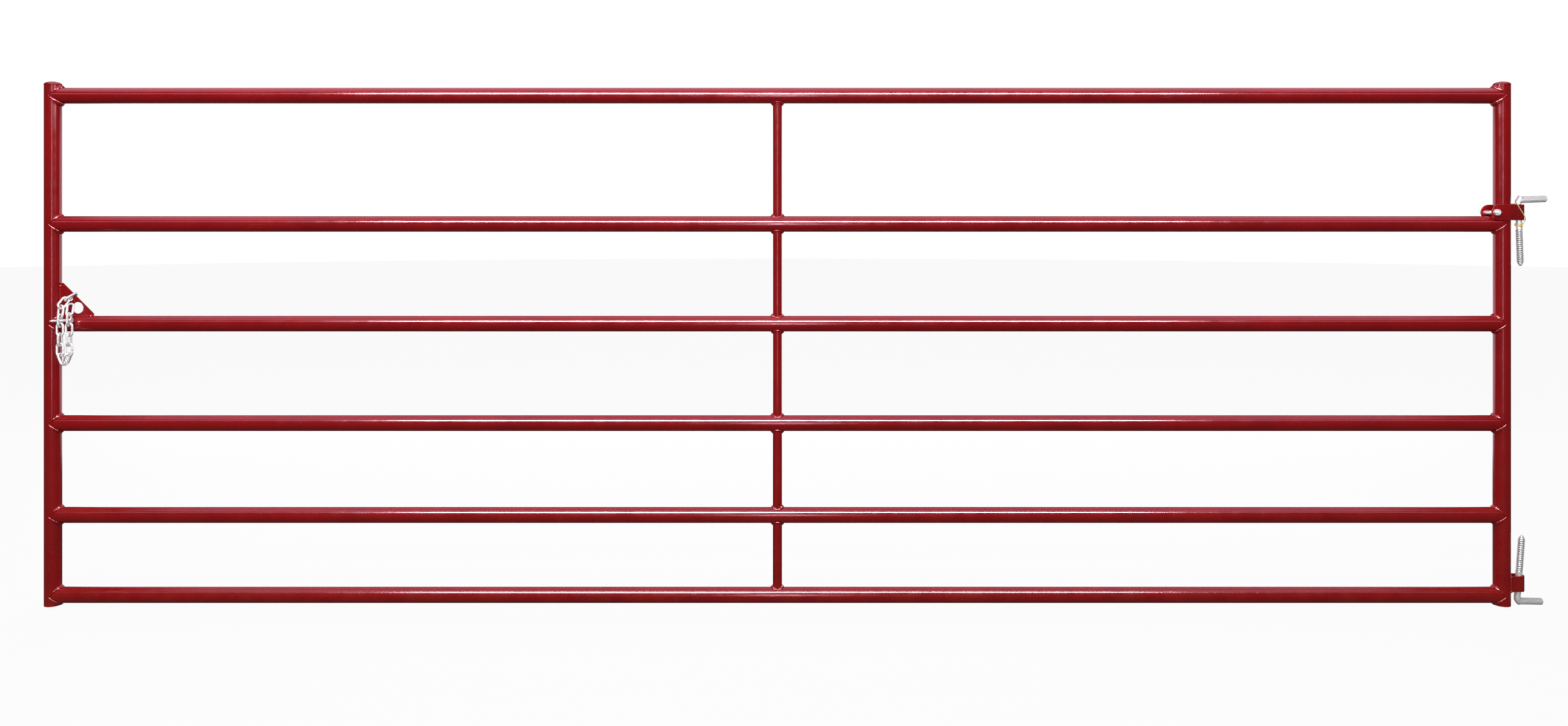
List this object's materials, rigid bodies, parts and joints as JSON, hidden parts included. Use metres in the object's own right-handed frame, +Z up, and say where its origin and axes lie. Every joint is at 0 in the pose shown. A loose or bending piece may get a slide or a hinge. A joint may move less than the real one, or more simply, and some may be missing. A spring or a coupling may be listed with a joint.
{
  "type": "livestock panel gate",
  "caption": "Long welded tube gate with horizontal rails, a centre brace, a sliding hinge collar, a welded hinge eye, loose screw hooks, and a latch plate with a hanging chain.",
  "frame": {"origin": "centre of the welded lower hinge eye, on the hinge axis", "axes": "+Z up along the hinge axis; the gate runs towards -X from the hinge; -Y is the side where the latch chain hangs"},
  "size_m": [3.643, 0.0718, 1.2735],
  "materials": {
    "red_enamel": "glossy baked enamel",
    "zinc": "bright zinc plate",
    "tie_rubber": "matt"
  },
  "bodies": {
    "frame": {"latch_upright": "red_enamel", "hinge_upright": "red_enamel", "latch_upright_cap": "red_enamel", "hinge_upright_cap": "red_enamel", "top_rail": "red_enamel", "rail_2": "red_enamel", "rail_3": "red_enamel", "rail_4": "red_enamel", "rail_5": "red_enamel", "bottom_rail": "red_enamel", "brace_1": "red_enamel", "brace_2": "red_enamel", "brace_3": "red_enamel", "brace_4": "red_enamel", "brace_5": "red_enamel", "latch_plate": "red_enamel", "lower_hinge_eye": "red_enamel"},
    "collar": {"collar_strap": "red_enamel", "collar_bolt": "zinc", "collar_nut": "zinc", "tie_band": "tie_rubber"},
    "upper_hook": {"upper_screw_hook": "zinc"},
    "lower_hook": {"lower_screw_hook": "zinc"},
    "anchor": {"chain_anchor_link": "zinc"},
    "chain": {"chain_link_01": "zinc", "chain_link_02": "zinc", "chain_link_03": "zinc", "chain_link_04": "zinc", "chain_link_05": "zinc", "chain_link_06": "zinc", "chain_link_07": "zinc", "chain_link_08": "zinc", "chain_link_09": "zinc", "chain_link_10": "zinc", "chain_link_11": "zinc", "chain_link_12": "zinc", "chain_link_13": "zinc"},
    "lag_screw": {"chain_lag_screw": "zinc"}
  },
  "joints": [
    {"name": "collar_slide", "type": "slide", "parent": "frame", "child": "collar", "axis": [0, 0, 1], "range_m": [0, 0.24]},
    {"name": "upper_hook_turn", "type": "hinge", "parent": "collar", "child": "upper_hook", "pos_m": [0, 0, 0.8992], "axis": [-0.0384, 0, 0.9993], "range_deg": [-135, 135]},
    {"name": "lower_hook_turn", "type": "hinge", "parent": "frame", "child": "lower_hook", "pos_m": [0, 0, 0], "axis": [0.0715, 0, 0.9974], "range_deg": [-135, 120]},
    {"name": "anchor_link_swing", "type": "hinge", "parent": "frame", "child": "anchor", "pos_m": [-3.50783, 0, 0.69729], "axis": [-0.7071, 0, 0.7071], "range_deg": [0, 60]},
    {"name": "chain_swing", "type": "hinge", "parent": "anchor", "child": "chain", "pos_m": [-3.51756, -0.01761, 0.68756], "axis": [-0.5572, 0.6157, -0.5572], "range_deg": [0, 65]},
    {"name": "lag_screw_pull", "type": "slide", "parent": "chain", "child": "lag_screw", "axis": [0.9986, 0, 0.0523], "range_m": [0, 0.06]}
  ]
}
